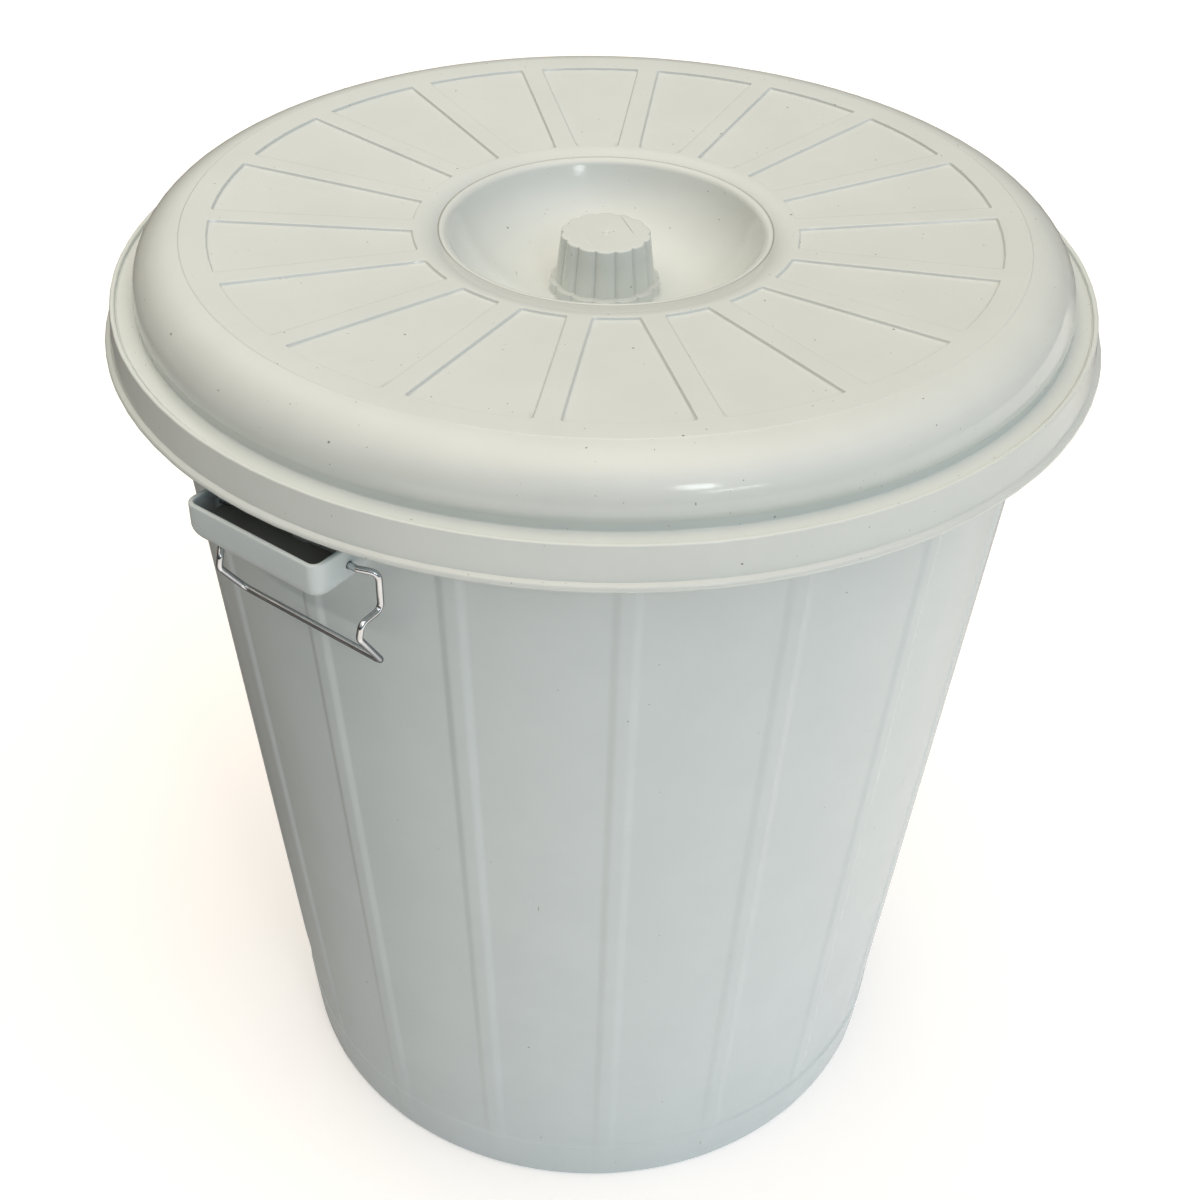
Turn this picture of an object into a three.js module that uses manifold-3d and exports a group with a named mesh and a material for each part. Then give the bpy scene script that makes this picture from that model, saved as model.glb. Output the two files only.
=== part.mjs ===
// A round moulded plastic bin with a lift-off lid and two bent-wire bails.
// Millimetres, +Z up, origin on the floor under the middle of the tub.
// The ears that carry the bails lie on the -X and +X sides.
import * as THREE from 'three';
import { mergeVertices } from 'three/addons/utils/BufferGeometryUtils.js';
import Module from 'manifold-3d';

const wasm = await Module();
wasm.setup();

// ---------------------------------------------------------------- tub sizes
const rimRadius = 247.2;         // outside of the turned-down rim
const rimHeight = 521;           // top of the tub
const rimDrop = 12;              // how far the rim turns down
const rimThickness = 2.4;
const rimOverhang = 18.3;        // from the wall out to the outside of the rim
const rimEdge = 1.5;             // bevels along the rim
const mouthRound = 5;            // how far the mouth's edge rolls out over the wall
const shoulderDrop = 10;         // from the rim's top down to where the wall turns out
const footRadius = 188;          // outside of the wall's line at the floor
const wallThickness = 2.6;
const footRingHeight = 32;       // the thicker band round the foot
const footRingProud = 0.8;
const footEdge = 3.5;            // rounding under the foot ring
const footRimWidth = 11;         // width of the flat ring that stands on the floor
const floorRound = 12;           // inside rounding between floor and wall
const undersideRise = 6;         // how far the middle of the underside is raised
const ribCount = 18;
const ribFootWidth = 15;
const ribCrestWidth = 6;
const ribHeight = 1.2;

// ---------------------------------------------------------------- ear sizes
const earDepth = 28;             // from the wall out to the front face
const earHeight = 21.5;
const earDrop = 26;              // from the tub's top down to the ear's open top
const earHalfLength = 41;
const earWall = 2.5;
const earCorner = 6;             // rounding of the two front corners, seen from above
const earRound = 10;             // rounding along the bottom of the front and the ends
const earRoot = 25;              // an ear's block starts this far inside, before the wall trims it
const earBite = 0.4;             // depth of an ear's root in the wall

// ---------------------------------------------------------------- bail sizes
const wireDiameter = 3.2;
const wireSides = 10;
const wireBend = 4;              // bend radius on the wire's centre line
const bendSteps = 4;
const pivotOut = 7.6;            // pivot line, out from the wall
const pivotDrop = 9;             // pivot line, below the ear's open top
const pivotClearance = 0.4;      // round the wire in its hole
const stubIntoEar = 5;           // length of wire inside the ear
const longOverhang = 13;         // one arm's centre line, beyond the end of the ear
const shortOverhang = 6;         // the other arm's
const shortSideLean = 12;        // below that arm the wire runs this much back towards the middle
const shortSideDrop = 2.5;       // and its kink lies this much lower
const slantStart = 0.35;         // share of the overhang that runs straight out of the ear
const armSetIn = 4.5;            // the arm hangs this much nearer the wall than the pivot
const armLength = 20.5;          // from the pivot down to the kink
const kinkReach = 12.6;          // how far the kink stands out
const kinkLength = 7;
const kinkLean = 2;
const crossbarDrop = 50;         // from the pivot down to the crossbar
const crossbarSetIn = 3.2;
const wireSag = 1;               // fall of the wire along its sideways runs
const longestBend = 0.48;        // share of a straight run that one bend may take

// ---------------------------------------------------------------- lid sizes
const seatGap = 0.3;             // between the lid's flange and the tub's rim
const lidThickness = 2.4;
const skirtClearance = 1.5;      // between the rim's outside and the skirt's inside
const skirtThickness = 1.6;
const skirtFlare = 2.6;          // the skirt is this much wider at the bottom
const skirtHeight = 21;          // lip to the bottom of the bead
const skirtCorner = 1;           // bevel inside, under the flange
const beadRadius = 1.7;
const beadOut = 0.5;             // the bead's middle, out from the skirt
const beadHeight = 4;            // from the skirt's bottom to where the bead runs out
const lipHeight = 1.8;           // the lip stands this much above the flange
const lipWidth = 2.6;
const lipEdge = 0.7;
const flangeWidth = 9.6;
const neckHeight = 6;            // straight part of the dome's foot
const neckEdge = 2;
const domeBulge = 0.7;           // the dome stands this much out over its neck
const domeRoll = 24.8;           // radial width of the dome's rounded edge
const domeRise = 30;             // flange up to the crest
const crestStep = 0.7;           // small step where the flat top begins
const crestRound = 1.5;
const dishRadius = 85.6;
const topFall = 7.6;             // the top falls this much from the crest to the dish
const dishDepth = 35;
const dishFloorRadius = 30;
const panelCount = 18;
const panelInnerMargin = 13.2;   // plain ring between the dish and the panels
const panelOuterMargin = 14;     // plain ring between the panels and the crest
const barWidth = 12;             // raised bar between two panels
const panelDepth = 1.5;
const panelBacking = 1.4;        // how far the wall under a panel reaches beyond it

// ---------------------------------------------------------------- knob sizes
const knobFootRadius = 26.3;
const knobTopRadius = 23.3;
const knobHeight = 31;           // above the dish floor
const knobEdge = 1.2;
const knobWall = 2.6;
const lobeCount = 14;
const lobeDepth = 1.5;
const knobTurn = 11 * Math.PI / 180;
const plinthRadius = 28.8;
const plinthHeight = 6;
const plinthEdge = 1;

// ---------------------------------------------------------------- mesh fineness
const roundSides = 72;
const gapSteps = 2;              // extra corners between two ribs
const lobeSteps = 6;
const edgeSteps = 3;             // along a small rounding
const domeSteps = 7;
const dishSteps = 6;
const earCornerSteps = 4;
const holeSides = 16;
const cutOver = 1;               // a cutting body runs this far past the face it cuts

// ---------------------------------------------------------------- derived sizes
const wallTopRadius = rimRadius - rimOverhang;
const wallTopHeight = rimHeight - shoulderDrop;
const wallSlope = (wallTopRadius - footRadius) / wallTopHeight;
const wallRadiusAt = (height) => footRadius + wallSlope * height;

const earTop = rimHeight - earDrop;
const earBottom = earTop - earHeight;
const earReach = wallTopRadius + earDepth;
const pivotReach = wallTopRadius + pivotOut;
const pivotHeight = earTop - pivotDrop;
const wireRadius = wireDiameter / 2;

const flangeTop = rimHeight + seatGap + lidThickness;
const lipTop = flangeTop + lipHeight;
const skirtInner = rimRadius + skirtClearance;
const lipRadius = skirtInner + skirtThickness;
const domeFoot = lipRadius - lipWidth - flangeWidth;
const crestRadius = domeFoot + domeBulge - domeRoll;
const crestHeight = flangeTop + domeRise;
const topSlope = topFall / (crestRadius - dishRadius);
const dishRimHeight = crestHeight - topFall;
const dishFloor = dishRimHeight - dishDepth;

// ---------------------------------------------------------------- helpers
/** A closed skin over rings of corners; its first and last rings are single points on the axis. */
function skin(rings) {
  const positions = rings.flat().flatMap((corner) => corner.toArray());
  const faces = [];
  let start = 0;
  for (let i = 0; i + 1 < rings.length; i++) {
    const here = rings[i].length;
    const next = rings[i + 1].length;
    const count = Math.max(here, next);
    for (let k = 0; k < count; k++) {
      const after = (k + 1) % count;
      const a = start + (here > 1 ? k : 0);
      const b = start + (here > 1 ? after : 0);
      const c = start + here + (next > 1 ? after : 0);
      const d = start + here + (next > 1 ? k : 0);
      if (here > 1) faces.push(a, b, c);
      if (next > 1) faces.push(a, c, d);
    }
    start += here;
  }
  const geometry = new THREE.BufferGeometry();
  geometry.setAttribute('position', new THREE.Float32BufferAttribute(positions, 3));
  geometry.setIndex(faces);
  return geometry;
}

/** A body of revolution about Z from a profile of [radius, height] pairs that runs axis to axis. */
function turned(profile, sides = roundSides) {
  const points = profile.map(([radius, height]) => new THREE.Vector2(radius, height));
  return new THREE.LatheGeometry(points, sides).rotateX(Math.PI / 2);
}

/** three.js geometry as a manifold solid. */
function solid(geometry) {
  const bare = geometry.clone();
  bare.deleteAttribute('normal');
  bare.deleteAttribute('uv');
  const merged = mergeVertices(bare, 1e-4);
  const mesh = new wasm.Mesh({
    numProp: 3,
    vertProperties: new Float32Array(merged.attributes.position.array),
    triVerts: new Uint32Array(merged.index.array),
  });
  return new wasm.Manifold(mesh);
}

/** A manifold solid as three.js geometry. */
function geometryOf(body) {
  const mesh = body.getMesh();
  const geometry = new THREE.BufferGeometry();
  geometry.setAttribute('position', new THREE.Float32BufferAttribute(mesh.vertProperties, 3));
  geometry.setIndex(Array.from(mesh.triVerts));
  geometry.computeVertexNormals();
  return geometry;
}

/** Points on an arc, from one angle to another, as [radius, height] pairs. */
function arc(radius, height, across, up, from, to, steps) {
  const points = [];
  for (let i = 0; i <= steps; i++) {
    const angle = from + (to - from) * i / steps;
    points.push([radius + across * Math.cos(angle), height + up * Math.sin(angle)]);
  }
  return points;
}

/** The same line moved sideways to its right by a distance, with mitred corners. */
function offsetLine(points, distance) {
  return points.map(([radius, height], i) => {
    const before = points[Math.max(i - 1, 0)];
    const after = points[Math.min(i + 1, points.length - 1)];
    const into = new THREE.Vector2(radius - before[0], height - before[1]).normalize();
    const out = new THREE.Vector2(after[0] - radius, after[1] - height).normalize();
    if (into.length() === 0) into.copy(out);
    if (out.length() === 0) out.copy(into);
    const along = into.clone().add(out).normalize();
    const reach = distance / along.dot(out);
    return [Math.max(radius + along.y * reach, 0), height - along.x * reach];
  });
}

// ---------------------------------------------------------------- tub
/** One ring of the tub's wall; a rib height above zero lifts the ribs' crests. */
function ribbedRing(radius, height, rise) {
  const pitch = 2 * Math.PI / ribCount;
  const footHalf = ribFootWidth / 2 / radius;
  const crestHalf = ribCrestWidth / 2 / radius;
  const corners = [];
  const add = (angle, reach) => {
    corners.push(new THREE.Vector3(reach * Math.cos(angle), reach * Math.sin(angle), height));
  };
  for (let i = 0; i < ribCount; i++) {
    const middle = i * pitch;
    add(middle - footHalf, radius);
    add(middle - crestHalf, radius + rise);
    add(middle + crestHalf, radius + rise);
    add(middle + footHalf, radius);
    for (let k = 1; k <= gapSteps; k++) {
      const share = k / (gapSteps + 1);
      add(middle + footHalf + (pitch - 2 * footHalf) * share, radius);
    }
  }
  return corners;
}

function tubShell() {
  const onAxis = (height) => [new THREE.Vector3(0, 0, height)];
  const footCentre = footRadius - footEdge;
  const footReach = wallRadiusAt(footEdge) + footRingProud - footCentre;
  const ringTop = wallRadiusAt(footRingHeight);
  const floorTop = undersideRise + wallThickness;
  const innerFoot = wallRadiusAt(floorTop + floorRound) - wallThickness;
  const rimInner = rimRadius - rimThickness;
  const rimUnder = rimHeight - rimThickness;
  const outline = [
    // underside and foot ring
    [footCentre - footRimWidth - undersideRise, undersideRise, 0],
    [footCentre - footRimWidth, 0, 0],
    ...arc(footCentre, footEdge, footReach, footEdge, -Math.PI / 2, 0, edgeSteps)
      .map(([radius, height]) => [radius, height, ribHeight * height / footEdge]),
    [ringTop + footRingProud, footRingHeight, ribHeight],
    [ringTop, footRingHeight + footRingProud, ribHeight],
    // wall, then out under the rim, down its inside and up its outside
    [wallTopRadius, wallTopHeight, ribHeight],
    [wallTopRadius + mouthRound, rimUnder - rimEdge, 0],
    [wallTopRadius + mouthRound + rimThickness, rimUnder, 0],
    [rimInner - rimEdge, rimUnder, 0],
    [rimInner, rimUnder - rimEdge, 0],
    [rimInner, rimHeight - rimDrop, 0],
    [rimRadius, rimHeight - rimDrop, 0],
    [rimRadius, rimHeight - rimEdge, 0],
    [rimRadius - rimEdge, rimHeight, 0],
    // mouth, inside wall and floor
    [wallTopRadius + mouthRound, rimHeight, 0],
    [wallTopRadius, rimHeight - rimThickness, 0],
    [wallTopRadius - wallThickness, wallTopHeight, 0],
    ...arc(innerFoot - floorRound, floorTop + floorRound, floorRound, floorRound,
      0, -Math.PI / 2, edgeSteps).map((point) => [...point, 0]),
  ];
  const rings = outline.map(([radius, height, rise]) => ribbedRing(radius, height, rise));
  return skin([onAxis(undersideRise), ...rings, onAxis(floorTop)]);
}

/** One level of an ear: straight into the wall, rounded at its two front corners. */
function earRing(inner, reach, halfLength, corner, height) {
  const front = reach - corner;
  const side = halfLength - corner;
  return [
    [inner, -halfLength],
    ...arc(front, -side, corner, corner, -Math.PI / 2, 0, earCornerSteps),
    ...arc(front, side, corner, corner, 0, Math.PI / 2, earCornerSteps),
    [inner, halfLength],
  ].map(([x, y]) => new THREE.Vector3(x, y, height));
}

/** A block in an ear's plan, rounded along the bottom of its front and ends. */
function earBlock(inner, reach, halfLength, corner, round, bottom, top) {
  const middle = (height) => [new THREE.Vector3((inner + reach) / 2, 0, height)];
  const levels = arc(round, bottom + round, -round, round, -Math.PI / 2, 0, earCornerSteps);
  levels.push([0, top]);
  const rings = levels.map(([inset, height]) => (
    earRing(inner, reach - inset, halfLength - inset, corner, height)));
  return skin([middle(bottom), ...rings, middle(top)]);
}

/** The bore that carries a bail's two ends, along Y through both ends of an ear. */
function earBore() {
  const radius = wireRadius + pivotClearance;
  const bore = new THREE.CylinderGeometry(radius, radius, 2 * (earHalfLength + cutOver), holeSides);
  return bore.translate(pivotReach, 0, 0).translate(0, 0, pivotHeight);
}

/** The cone just inside the wall's outside, over an ear's height. */
function wallCore() {
  const bottom = earBottom - cutOver;
  const top = earTop + cutOver;
  return turned([
    [0, bottom],
    [wallRadiusAt(bottom) - earBite, bottom],
    [wallRadiusAt(top) - earBite, top],
    [0, top],
  ], ribCount * 6);
}

function tub() {
  const root = wallRadiusAt(earBottom) - earRoot;
  const core = solid(wallCore());
  let shell = solid(tubShell());
  for (const turn of [0, Math.PI]) {
    const block = earBlock(root, earReach, earHalfLength, earCorner, earRound, earBottom, earTop);
    const pocket = earBlock(root, earReach - earWall, earHalfLength - earWall,
      earCorner - earWall, earRound - earWall, earBottom + earWall, earTop + cutOver);
    const ear = solid(block.rotateZ(turn))
      .subtract(solid(pocket.rotateZ(turn)))
      .subtract(solid(earBore().rotateZ(turn)))
      .subtract(core);
    shell = shell.add(ear);
  }
  return geometryOf(shell);
}

// ---------------------------------------------------------------- bails
/** A wire's centre line: straight runs joined by round bends. */
class BentWire extends THREE.Curve {
  constructor(corners, bend, steps) {
    super();
    this.stations = [corners[0]];
    for (let i = 1; i + 1 < corners.length; i++) {
      const back = corners[i - 1].clone().sub(corners[i]).normalize();
      const ahead = corners[i + 1].clone().sub(corners[i]).normalize();
      const halfAngle = back.angleTo(ahead) / 2;
      const cut = Math.min(bend / Math.tan(halfAngle),
        longestBend * corners[i].distanceTo(corners[i - 1]),
        longestBend * corners[i].distanceTo(corners[i + 1]));
      const radius = cut * Math.tan(halfAngle);
      const centre = back.clone().add(ahead).normalize()
        .multiplyScalar(radius / Math.sin(halfAngle)).add(corners[i]);
      const first = back.clone().multiplyScalar(cut).add(corners[i]).sub(centre);
      const axis = back.clone().cross(ahead).normalize();
      const sweep = -(Math.PI - 2 * halfAngle);
      for (let k = 0; k <= steps; k++) {
        this.stations.push(first.clone().applyAxisAngle(axis, sweep * k / steps).add(centre));
      }
    }
    this.stations.push(corners.at(-1));
  }

  get steps() {
    return this.stations.length - 1;
  }

  getPoint(t, target = new THREE.Vector3()) {
    const place = THREE.MathUtils.clamp(t, 0, 1) * this.steps;
    const index = Math.min(Math.floor(place + 1e-6), this.steps - 1);
    return target.copy(this.stations[index]).lerp(this.stations[index + 1], place - index);
  }

  getPointAt(u, target) {
    return this.getPoint(u, target);
  }

  getTangentAt(u, target = new THREE.Vector3()) {
    const index = Math.round(THREE.MathUtils.clamp(u, 0, 1) * this.steps);
    const before = this.stations[Math.max(index - 1, 0)];
    const here = this.stations[index];
    const after = this.stations[Math.min(index + 1, this.steps)];
    const into = here.clone().sub(before).normalize();
    const out = after.clone().sub(here).normalize();
    return target.copy(into).add(out).normalize();
  }
}

/** One half of a bail's centre line, from inside the ear down to the crossbar, on the +Y side. */
function bailSide(overhang, lean, drop) {
  const arm = earHalfLength + overhang;
  const foot = arm - lean;
  const armReach = pivotReach - armSetIn;
  const kinkOut = armReach + kinkReach;
  const kinkTop = pivotHeight - armLength - drop;
  const kinkBottom = kinkTop - wireSag - kinkLength;
  const at = (reach, side, height) => new THREE.Vector3(reach, side, height);
  return [
    at(pivotReach, earHalfLength - earWall - stubIntoEar, pivotHeight),
    at(pivotReach, earHalfLength + overhang * slantStart, pivotHeight),
    at(armReach, arm, pivotHeight - wireSag),
    at(armReach, arm, kinkTop),
    at(kinkOut, foot, kinkTop - wireSag),
    at(kinkOut + kinkLean, foot, kinkBottom),
    at(pivotReach - crossbarSetIn, foot, pivotHeight - crossbarDrop),
  ];
}

function bail() {
  const longSide = bailSide(longOverhang, 0, 0);
  const shortSide = bailSide(shortOverhang, shortSideLean, shortSideDrop)
    .map((corner) => corner.multiply(new THREE.Vector3(1, -1, 1)));
  const path = new BentWire([...shortSide, ...longSide.reverse()], wireBend, bendSteps);
  const section = new THREE.Shape();
  for (let i = 0; i < wireSides; i++) {
    const angle = 2 * Math.PI * i / wireSides;
    const draw = i === 0 ? section.moveTo : section.lineTo;
    draw.call(section, wireRadius * Math.cos(angle), wireRadius * Math.sin(angle));
  }
  return new THREE.ExtrudeGeometry(section, { steps: path.steps, extrudePath: path });
}

// ---------------------------------------------------------------- lid
/** The lid's top line, from the dish floor out to the foot of the lip. */
function lidTopLine() {
  const dishRun = dishRadius - dishFloorRadius;
  const dishAngle = 2 * Math.atan(dishDepth / dishRun);
  const dishCurve = dishRun / Math.sin(dishAngle);
  const bulgeHeight = flangeTop + neckHeight;
  return [
    [0, dishFloor],
    ...arc(dishFloorRadius, dishFloor + dishCurve, dishCurve, dishCurve,
      -Math.PI / 2, dishAngle - Math.PI / 2, dishSteps),
    [crestRadius - crestRound, crestHeight - topSlope * crestRound],
    ...arc(crestRadius, bulgeHeight, domeRoll, domeRise - neckHeight - crestStep,
      Math.PI / 2, 0, domeSteps),
    [domeFoot, bulgeHeight - neckEdge],
    [domeFoot, flangeTop],
  ];
}

function lidShell() {
  const flangeEdge = lipRadius - lipWidth;
  const flangeUnder = flangeTop - lidThickness;
  const shellLine = [...lidTopLine(), [flangeEdge, flangeTop]];
  const under = offsetLine(shellLine, lidThickness).reverse();
  const skirtOuter = lipRadius + skirtFlare;
  const skirtBottom = lipTop - skirtHeight;
  const skirtSlope = skirtFlare / skirtHeight;
  const lip = [
    [flangeEdge + lipEdge / 2, lipTop - lipEdge],
    [flangeEdge + lipEdge * 1.5, lipTop],
    [lipRadius - lipEdge, lipTop],
    [lipRadius, lipTop - lipEdge],
  ];
  const bead = [
    [skirtOuter - skirtSlope * beadHeight, skirtBottom + beadHeight],
    ...arc(skirtOuter + beadOut, skirtBottom + beadRadius, beadRadius, beadRadius,
      Math.PI / 3, -Math.PI / 2, edgeSteps + 1),
  ];
  const inside = [
    [skirtOuter - skirtThickness, skirtBottom],
    [skirtInner, flangeUnder - skirtCorner],
    [skirtInner - skirtCorner, flangeUnder],
  ];
  return turned([...shellLine, ...lip, ...bead, ...inside, ...under].reverse());
}

/** Plan of one recessed panel, its middle along +X, grown by a margin all round. */
function panelPlan(grow) {
  const inner = dishRadius + panelInnerMargin - grow;
  const outer = crestRadius - panelOuterMargin + grow;
  const spread = (radius) => Math.PI / panelCount - Math.asin((barWidth / 2 - grow) / radius);
  const plan = new THREE.Shape();
  plan.absarc(0, 0, outer, -spread(outer), spread(outer), false);
  plan.absarc(0, 0, inner, spread(inner), -spread(inner), true);
  return plan;
}

/** A panel-shaped prism that follows the top's slope between two heights above it. */
function panelPrism(grow, low, high, index) {
  const prism = new THREE.ExtrudeGeometry(panelPlan(grow), {
    depth: high - low, bevelEnabled: false, curveSegments: edgeSteps,
  });
  const slope = new THREE.Matrix4().set(
    1, 0, 0, 0,
    0, 1, 0, 0,
    topSlope, 0, 1, dishRimHeight - topSlope * dishRadius + low,
    0, 0, 0, 1,
  );
  return prism.applyMatrix4(slope).rotateZ(2 * Math.PI * index / panelCount);
}

/** One fluted ring of the knob: broad lobes with narrow grooves between them. */
function lobedRing(radius, height) {
  const corners = [];
  const count = lobeCount * lobeSteps;
  for (let i = 0; i < count; i++) {
    const turn = 2 * Math.PI * i / count;
    const swell = Math.sqrt(Math.abs(Math.cos(lobeCount * turn / 2)));
    const reach = radius - lobeDepth * (1 - swell);
    corners.push(new THREE.Vector3(
      reach * Math.cos(turn + knobTurn), reach * Math.sin(turn + knobTurn), height));
  }
  return corners;
}

function knob() {
  const top = dishFloor + knobHeight;
  const plinthTop = dishFloor + plinthHeight;
  const sunk = dishFloor - lidThickness / 2;
  return skin([
    [new THREE.Vector3(0, 0, sunk)],
    lobedRing(plinthRadius, sunk),
    lobedRing(plinthRadius, plinthTop - plinthEdge),
    lobedRing(plinthRadius - plinthEdge, plinthTop),
    lobedRing(knobFootRadius, plinthTop),
    lobedRing(knobTopRadius, top - knobEdge),
    lobedRing(knobTopRadius - knobEdge, top),
    [new THREE.Vector3(0, 0, top)],
  ]);
}

/** The space inside the knob, open from below. */
function knobCore() {
  const below = dishFloor - lidThickness - cutOver;
  const shoulder = dishFloor + plinthHeight - knobWall;
  const top = dishFloor + knobHeight - knobWall;
  const footReach = knobFootRadius - lobeDepth - knobWall;
  return turned([
    [0, below],
    [footReach, below],
    [footReach, shoulder],
    [knobTopRadius - lobeDepth - knobWall, top],
    [0, top],
  ], lobeCount * 3);
}

function lid() {
  const backingTop = -lidThickness / 2;
  const backingBottom = -panelDepth - lidThickness;
  let body = solid(lidShell());
  for (let i = 0; i < panelCount; i++) {
    body = body.add(solid(panelPrism(panelBacking, backingBottom, backingTop, i)));
  }
  for (let i = 0; i < panelCount; i++) {
    body = body.subtract(solid(panelPrism(0, -panelDepth, cutOver, i)));
  }
  body = body.add(solid(knob())).subtract(solid(knobCore()));
  return geometryOf(body);
}

// ---------------------------------------------------------------- materials
const tubPlastic = new THREE.MeshStandardMaterial({ color: 0xa9b1b0, roughness: 0.38, metalness: 0 });
const lidPlastic = new THREE.MeshStandardMaterial({ color: 0xc3c5ba, roughness: 0.34, metalness: 0 });
const steelWire = new THREE.MeshStandardMaterial({ color: 0xb9bdbf, roughness: 0.22, metalness: 1 });

// ---------------------------------------------------------------- assembly
function piece(name, geometry, material) {
  const mesh = new THREE.Mesh(geometry, material);
  mesh.name = name;
  return mesh;
}

const bin = new THREE.Group();
bin.add(piece('tub', tub(), tubPlastic));
bin.add(piece('lid', lid(), lidPlastic));
const bailRight = piece('bail_right', bail(), steelWire);
const bailLeft = piece('bail_left', bail(), steelWire);
bailLeft.rotation.z = Math.PI;
bin.add(bailRight, bailLeft);

export default bin;
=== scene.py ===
import math

import bmesh
import bpy
import numpy as np
from mathutils import Matrix, Vector


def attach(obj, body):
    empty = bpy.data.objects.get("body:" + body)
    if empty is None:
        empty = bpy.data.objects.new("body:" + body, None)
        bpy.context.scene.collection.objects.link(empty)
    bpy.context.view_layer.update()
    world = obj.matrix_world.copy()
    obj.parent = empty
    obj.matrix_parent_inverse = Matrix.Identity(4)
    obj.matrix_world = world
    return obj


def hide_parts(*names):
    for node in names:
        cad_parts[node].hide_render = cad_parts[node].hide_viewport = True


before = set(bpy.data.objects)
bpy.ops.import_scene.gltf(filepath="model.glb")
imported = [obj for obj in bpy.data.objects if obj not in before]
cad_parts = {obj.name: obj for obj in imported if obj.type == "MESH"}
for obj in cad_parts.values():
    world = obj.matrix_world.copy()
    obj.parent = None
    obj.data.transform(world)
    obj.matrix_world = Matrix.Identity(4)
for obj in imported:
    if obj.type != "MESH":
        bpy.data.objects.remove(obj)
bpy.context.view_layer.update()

MM = 0.001

# ---------------------------------------------------------------- sizes of the tub
TUB_TOP = 521.0
SHOULDER = 511.0              # where the wall turns out under the rim
WALL_TOP_RADIUS = 228.9
FOOT_RADIUS = 188.0
WALL = 2.6
WALL_SLOPE = (WALL_TOP_RADIUS - FOOT_RADIUS) / SHOULDER
FLOOR_UNDER = 6.0
FLOOR_TOP = FLOOR_UNDER + WALL
FOOT_RING_TOP = 32.0
FOOT_RING_PROUD = 0.8
RIM_RADIUS = 247.2
RIM_THICKNESS = 2.4
RIM_BOTTOM = 509.0
RIB_COUNT = 18
RIB_FOOT = 15.0
RIB_CREST = 5.0
RIB_HEIGHT = 1.2

# ---------------------------------------------------------------- sizes of an ear and its bail
EAR_TOP = 495.0
EAR_BOTTOM = 473.5
EAR_REACH = 256.9             # front face
EAR_HALF = 41.0
EAR_CORNER = 6.0              # seen from above
EAR_ROUND = 10.0              # along the bottom
EAR_WALL = 2.5
PIVOT_REACH = 236.5
PIVOT_HEIGHT = 486.0
BORE_RADIUS = 2.0
WIRE = 3.2
WIRE_BEND = 4.0

# ---------------------------------------------------------------- sizes of the lid
FLANGE_TOP = 523.7
LID_WALL = 2.4
LIP_RADIUS = 250.3
LIP_TOP = 525.5
LIP_WIDTH = 2.6
SKIRT_INNER = 248.7
SKIRT_FOOT_RADIUS = 252.9
SKIRT_WALL = 1.6
SKIRT_BOTTOM = 504.5
BEAD_RADIUS = 1.7
NECK_RADIUS = 238.1
DOME_EDGE_RADIUS = 238.8
DOME_EDGE_HEIGHT = 529.7
CREST_RADIUS = 214.0
CREST_HEIGHT = 553.7
DISH_RADIUS = 85.6
DISH_RIM = 546.1
DISH_FLOOR = 511.1
DISH_FLOOR_RADIUS = 30.0
DISH_ROUND = 5.0              # along the dish's edge, inside a fine groove
GROOVE_HALF = 0.5
GROOVE_DEPTH = 0.8
PANEL_COUNT = 18
PANEL_INNER = 98.8
PANEL_OUTER = 200.0
PANEL_DEPTH = 1.5
BAR_WIDTH = 12.0

# ---------------------------------------------------------------- sizes of the knob
FLUTES = 14
FLUTE_TURN = math.radians(11)
KNOB_TOP_RADIUS = 23.3
KNOB_FOOT_RADIUS = 26.3
KNOB_HEIGHT = 31.0
PLINTH_RADIUS = 28.8
PLINTH_HEIGHT = 6.0
FLUTE_DEPTH = 1.9


# ================================================================ node helpers
class Wiring:
    """Adds nodes to a tree. A plain value goes on its socket and a socket is linked to it."""

    def __init__(self, tree):
        self.tree = tree

    def node(self, kind, inputs=None, **settings):
        made = self.tree.nodes.new(kind)
        for name, value in settings.items():
            setattr(made, name, value)
        for key, value in (inputs or {}).items():
            self.feed(made.inputs[key], value)
        return made

    def feed(self, socket, value):
        if isinstance(value, bpy.types.NodeSocket):
            self.tree.links.new(value, socket)
        else:
            socket.default_value = value

    def math(self, operation, *values):
        return self.node("ShaderNodeMath", dict(enumerate(values)), operation=operation).outputs[0]

    def ramp(self, value, low, high, to_low=0.0, to_high=1.0):
        """Smooth passage from to_low to to_high as value goes from low to high."""
        made = self.node("ShaderNodeMapRange", {
            "Value": value, "From Min": low, "From Max": high, "To Min": to_low, "To Max": to_high,
        }, interpolation_type="SMOOTHSTEP")
        return made.outputs["Result"]

    def parts(self, vector):
        return self.node("ShaderNodeSeparateXYZ", {0: vector}).outputs[:3]

    def vector(self, x=0.0, y=0.0, z=0.0):
        return self.node("ShaderNodeCombineXYZ", {0: x, 1: y, 2: z}).outputs[0]

    def polar(self, vector):
        """Distance from the upright axis, angle round it, and the sideways parts of a vector."""
        x, y, _ = self.parts(vector)
        squares = self.math("ADD", self.math("MULTIPLY", x, x), self.math("MULTIPLY", y, y))
        return self.math("SQRT", squares), self.math("ARCTAN2", y, x), x, y


def new_tree(name, kind, inputs, outputs):
    """A node group with named inputs (name: (kind of socket, usual value)) and outputs."""
    tree = bpy.data.node_groups.new(name, kind)
    for label, (socket, value) in inputs.items():
        made = tree.interface.new_socket(label, in_out="INPUT", socket_type=socket)
        if value is not None:
            made.default_value = value
    for label, socket in outputs.items():
        tree.interface.new_socket(label, in_out="OUTPUT", socket_type=socket)
    wiring = Wiring(tree)
    return tree, wiring, wiring.node("NodeGroupInput").outputs, wiring.node("NodeGroupOutput").inputs


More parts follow.
